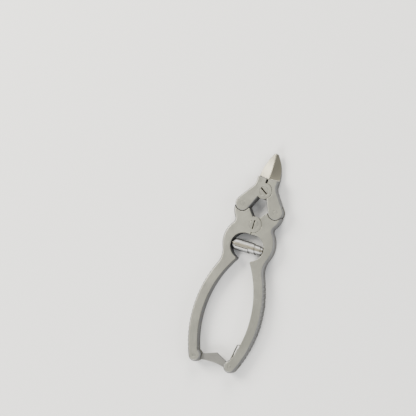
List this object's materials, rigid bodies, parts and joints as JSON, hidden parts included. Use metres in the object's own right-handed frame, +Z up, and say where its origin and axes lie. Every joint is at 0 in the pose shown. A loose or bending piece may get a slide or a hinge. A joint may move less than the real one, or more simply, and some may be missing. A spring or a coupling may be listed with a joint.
{
  "type": "nail nipper",
  "caption": "Double-action nail nipper with concave blades, linked jaws, serrated bowed handles, barrel spring and swing-out locking arm, lying closed.",
  "frame": {"origin": "middle of the tool's bounding box on the surface that it lies on", "axes": "+Y along the tool to the jaw tips, +X to the right, +Z up, square to the flat faces"},
  "size_m": [0.0484, 0.1524, 0.0084],
  "materials": {
    "handle_steel": "satin ground stainless steel, fine lengthwise grain, serrated outer grip",
    "jaw_steel": "satin stainless steel, ground and polished in the hollow of the blades",
    "screw_steel": "turned stainless steel",
    "pin_steel": "ground stainless pin ends",
    "spring_steel": "bright rolled spring strip",
    "latch_steel": "satin stainless sheet"
  },
  "bodies": {
    "right_handle": {"right_handle": "handle_steel", "handle_pivot_screw": "screw_steel", "right_spring_stud": "pin_steel", "barrel_spring": "spring_steel", "latch_pivot_pin": "pin_steel", "latch_leaf_spring": "spring_steel", "leaf_spring_rivet": "pin_steel"},
    "left_handle": {"left_handle": "handle_steel", "left_spring_stud": "pin_steel", "catch_pin": "pin_steel"},
    "right_jaw": {"right_jaw": "jaw_steel", "right_knuckle_pin": "pin_steel", "jaw_pivot_screw": "screw_steel"},
    "left_jaw": {"left_jaw": "jaw_steel", "left_knuckle_pin": "pin_steel"},
    "latch": {"latch_arm": "latch_steel"}
  },
  "joints": [
    {"name": "handle_opening", "type": "hinge", "parent": "right_handle", "child": "left_handle", "pos_m": [0, 0.0252, 0.0042], "axis": [0, 0, -1], "range_deg": [0, 22], "deforming": ["barrel_spring"]},
    {"name": "right_jaw_swing", "type": "hinge", "parent": "right_handle", "child": "right_jaw", "pos_m": [0.01195, 0.03715, 0.0042], "axis": [0, 0, -1], "range_deg": [0, 22]},
    {"name": "left_jaw_swing", "type": "hinge", "parent": "left_handle", "child": "left_jaw", "pos_m": [-0.01195, 0.03715, 0.0042], "axis": [0, 0, 1], "range_deg": [0, 22]},
    {"name": "latch_swing", "type": "hinge", "parent": "right_handle", "child": "latch", "pos_m": [0.01299, -0.07185, 0.0042], "axis": [0, 0, 1], "range_deg": [0, 99]}
  ],
  "couplings": [
    {"joint": "right_jaw_swing", "follows": "handle_opening", "ratio": 1},
    {"joint": "left_jaw_swing", "follows": "handle_opening", "ratio": 1},
    {"joint": "latch_swing", "follows": "handle_opening", "ratio": 4.5}
  ]
}
